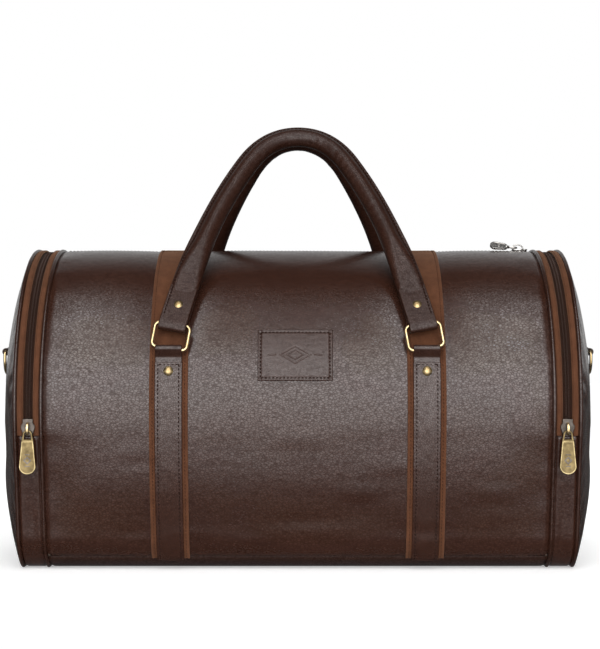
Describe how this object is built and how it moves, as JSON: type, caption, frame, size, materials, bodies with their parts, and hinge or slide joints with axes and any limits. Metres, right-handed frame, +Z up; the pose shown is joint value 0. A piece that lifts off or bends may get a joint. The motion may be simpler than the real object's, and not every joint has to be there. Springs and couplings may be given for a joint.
{
  "type": "duffel bag",
  "caption": "Barrel-shaped travel duffel with rolled handles on ring-mounted straps, suede bands, a lengthwise top zip and a zipped pocket at each end.",
  "frame": {"origin": "on the floor, under the middle of the bag's outer box", "axes": "+X along the bag towards the closed end of the top zip, -Y the front with the patch, +Z up"},
  "size_m": [0.5174, 0.2692, 0.3738],
  "materials": {
    "body_leather": "pebbled semi-gloss dark brown leather",
    "base_leather": "pebbled satin dark brown leather",
    "strap_leather": "smooth dark brown leather with edge stitching",
    "handle_leather": "creased semi-gloss dark brown leather",
    "patch_leather": "smooth dark brown leather",
    "piping": "glossy dark brown corded leather",
    "suede": "tan suede, matt",
    "lining": "plain woven lining cloth",
    "base_board": "stiffener board, matt",
    "handle_core": "foam rope core",
    "zip_tape": "woven herringbone zip tape",
    "zip_coil": "nylon zip coil, satin",
    "dark_metal": "antiqued pewter",
    "nickel": "polished nickel",
    "brass": "satin brass plate",
    "rivet_brass": "antique brass",
    "antique_brass": "antique brass, rubbed"
  },
  "bodies": {
    "bag": {"front_panel": "body_leather", "rear_panel": "body_leather", "left_end_panel": "body_leather", "right_end_panel": "body_leather", "left_lower_gusset": "body_leather", "right_lower_gusset": "body_leather", "base_panel": "base_leather", "base_board": "base_board", "main_lining": "lining", "left_partition": "lining", "left_inner_piping": "piping", "left_outer_piping": "piping", "left_inner_zip_trim": "suede", "left_outer_zip_trim": "suede", "left_zip_tape": "zip_tape", "left_zip_chain": "zip_coil", "left_ring_loop": "strap_leather", "right_partition": "lining", "right_inner_piping": "piping", "right_outer_piping": "piping", "right_inner_zip_trim": "suede", "right_outer_zip_trim": "suede", "right_zip_tape": "zip_tape", "right_zip_chain": "zip_coil", "right_ring_loop": "strap_leather", "main_zip_tape": "zip_tape", "main_zip_chain": "zip_coil", "zip_end_stops": "dark_metal", "front_left_band": "suede", "front_left_strap": "strap_leather", "front_right_band": "suede", "front_right_strap": "strap_leather", "rear_left_band": "suede", "rear_left_strap": "strap_leather", "rear_right_band": "suede", "rear_right_strap": "strap_leather", "strap_rivets": "rivet_brass", "front_patch": "patch_leather"},
    "front_left_ring": {"front_left_ring": "brass"},
    "front_right_ring": {"front_right_ring": "brass"},
    "front_handle": {"front_handle_cover": "handle_leather", "front_handle_core": "handle_core", "front_handle_rivets": "rivet_brass"},
    "rear_left_ring": {"rear_left_ring": "brass"},
    "rear_right_ring": {"rear_right_ring": "brass"},
    "rear_handle": {"rear_handle_cover": "handle_leather", "rear_handle_core": "handle_core", "rear_handle_rivets": "rivet_brass"},
    "left_slider": {"left_slider": "dark_metal"},
    "left_pull": {"left_pull": "antique_brass"},
    "left_d_ring": {"left_d_ring": "brass"},
    "right_slider": {"right_slider": "dark_metal"},
    "right_pull": {"right_pull": "antique_brass"},
    "right_d_ring": {"right_d_ring": "brass"},
    "main_slider": {"main_slider": "nickel"},
    "main_pull": {"main_pull": "nickel"}
  },
  "joints": [
    {"name": "front_left_ring_hinge", "type": "hinge", "parent": "bag", "child": "front_left_ring", "pos_m": [0, -0.12919, 0.18], "axis": [1, 0, 0], "range_deg": [0, 150]},
    {"name": "front_right_ring_hinge", "type": "hinge", "parent": "bag", "child": "front_right_ring", "pos_m": [0, -0.12919, 0.18], "axis": [1, 0, 0], "range_deg": [0, 150]},
    {"name": "front_handle_hinge", "type": "hinge", "parent": "front_left_ring", "child": "front_handle", "pos_m": [0, -0.12437, 0.19933], "axis": [1, 0, 0], "range_deg": [0, 20]},
    {"name": "rear_left_ring_hinge", "type": "hinge", "parent": "bag", "child": "rear_left_ring", "pos_m": [0, 0.12919, 0.18], "axis": [-1, 0, 0], "range_deg": [0, 150]},
    {"name": "rear_right_ring_hinge", "type": "hinge", "parent": "bag", "child": "rear_right_ring", "pos_m": [0, 0.12919, 0.18], "axis": [-1, 0, 0], "range_deg": [0, 150]},
    {"name": "rear_handle_hinge", "type": "hinge", "parent": "rear_left_ring", "child": "rear_handle", "pos_m": [0, 0.12437, 0.19933], "axis": [-1, 0, 0], "range_deg": [0, 20]},
    {"name": "main_zip_slide", "type": "slide", "parent": "bag", "child": "main_slider", "axis": [-1, 0, 0], "range_m": [0, 0.388]},
    {"name": "main_pull_hinge", "type": "hinge", "parent": "main_slider", "child": "main_pull", "pos_m": [0.1903, 0, 0.2682], "axis": [0, 1, 0], "range_deg": [0, 125]},
    {"name": "left_zip_travel", "type": "hinge", "parent": "bag", "child": "left_slider", "pos_m": [-0.2148, 0, 0.135], "axis": [-1, 0, 0], "range_deg": [0, 194]},
    {"name": "left_pull_hinge", "type": "hinge", "parent": "left_slider", "child": "left_pull", "pos_m": [-0.2148, -0.13159, 0.11432], "axis": [-1, 0, 0], "range_deg": [0, 160]},
    {"name": "right_zip_travel", "type": "hinge", "parent": "bag", "child": "right_slider", "pos_m": [0.2148, 0, 0.135], "axis": [-1, 0, 0], "range_deg": [0, 194]},
    {"name": "right_pull_hinge", "type": "hinge", "parent": "right_slider", "child": "right_pull", "pos_m": [0.2148, -0.13159, 0.11432], "axis": [-1, 0, 0], "range_deg": [0, 160]},
    {"name": "left_d_ring_hinge", "type": "hinge", "parent": "bag", "child": "left_d_ring", "pos_m": [-0.2545, 0, 0.177], "axis": [0, 1, 0], "range_deg": [0, 165]},
    {"name": "right_d_ring_hinge", "type": "hinge", "parent": "bag", "child": "right_d_ring", "pos_m": [0.2545, 0, 0.177], "axis": [0, -1, 0], "range_deg": [0, 165]}
  ],
  "couplings": [
    {"joint": "front_right_ring_hinge", "follows": "front_left_ring_hinge", "ratio": 1},
    {"joint": "rear_right_ring_hinge", "follows": "rear_left_ring_hinge", "ratio": 1}
  ]
}
